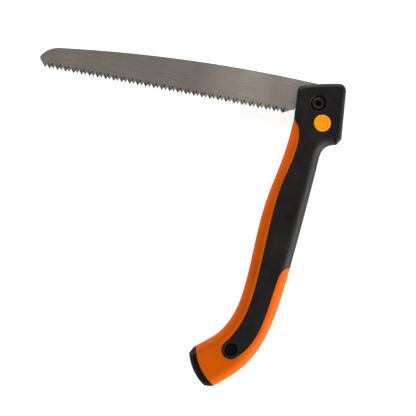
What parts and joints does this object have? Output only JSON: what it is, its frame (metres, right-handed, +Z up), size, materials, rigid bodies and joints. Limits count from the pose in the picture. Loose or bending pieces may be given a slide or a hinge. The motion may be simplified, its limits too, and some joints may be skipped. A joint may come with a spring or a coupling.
{
  "type": "folding pruning saw",
  "caption": "Folding pruning saw with a long toothed pull blade, a two-tone handle that takes the blade, a pivot screw and a round release button.",
  "frame": {"origin": "On the blade pivot's axis, on the surface that the saw rests on when it lies on its far cheek", "axes": "+Z up, out of the near cheek, which carries the button; +Y up along the back edge of the head, the way the blade points when fully open; +X out of that back edge"},
  "size_m": [0.3001, 0.3154, 0.0253],
  "materials": {
    "orange_shell": "satin glass filled nylon",
    "black_grip": "matt thermoplastic rubber with a fine texture",
    "black_cap": "satin moulded nylon",
    "blade_steel": "satin, ground lengthwise",
    "black_steel": "black oxide",
    "spring_steel": "bright",
    "zinc_steel": "zinc plated",
    "washer_plastic": "natural acetal",
    "orange_button": "semi gloss moulded plastic"
  },
  "bodies": {
    "handle": {"handle_shell_near": "orange_shell", "handle_shell_far": "orange_shell", "softgrip_near": "black_grip", "softgrip_far": "black_grip", "butt_cap": "black_cap", "pivot_screw": "black_steel", "pivot_sleeve_nut": "black_steel", "spring_washer": "black_steel", "friction_washer_near": "washer_plastic", "friction_washer_far": "washer_plastic", "lock_plate_near": "zinc_steel", "lock_plate_far": "zinc_steel", "button_spring": "spring_steel", "bolt_spring": "spring_steel", "lock_cap": "black_cap", "stop_pin": "zinc_steel", "shell_screws": "black_steel", "end_screws": "black_steel"},
    "blade": {"blade": "blade_steel"},
    "button": {"release_button": "orange_button", "button_pin": "spring_steel"},
    "bolt": {"lock_bolt": "zinc_steel"}
  },
  "joints": [
    {"name": "blade_pivot", "type": "hinge", "parent": "handle", "child": "blade", "pos_m": [0, 0, 0], "axis": [0, 0, 1], "range_deg": [-85, 79]},
    {"name": "button_press", "type": "slide", "parent": "handle", "child": "button", "axis": [0, 0, -1], "range_m": [0, 0.004], "stiffness_N_per_m": 900, "springref_m": -0.003, "deforming": ["button_spring"]},
    {"name": "bolt_retract", "type": "slide", "parent": "handle", "child": "bolt", "axis": [0, 0, -1], "range_m": [0, 0.001], "stiffness_N_per_m": 700, "springref_m": -0.004, "deforming": ["bolt_spring"]}
  ]
}
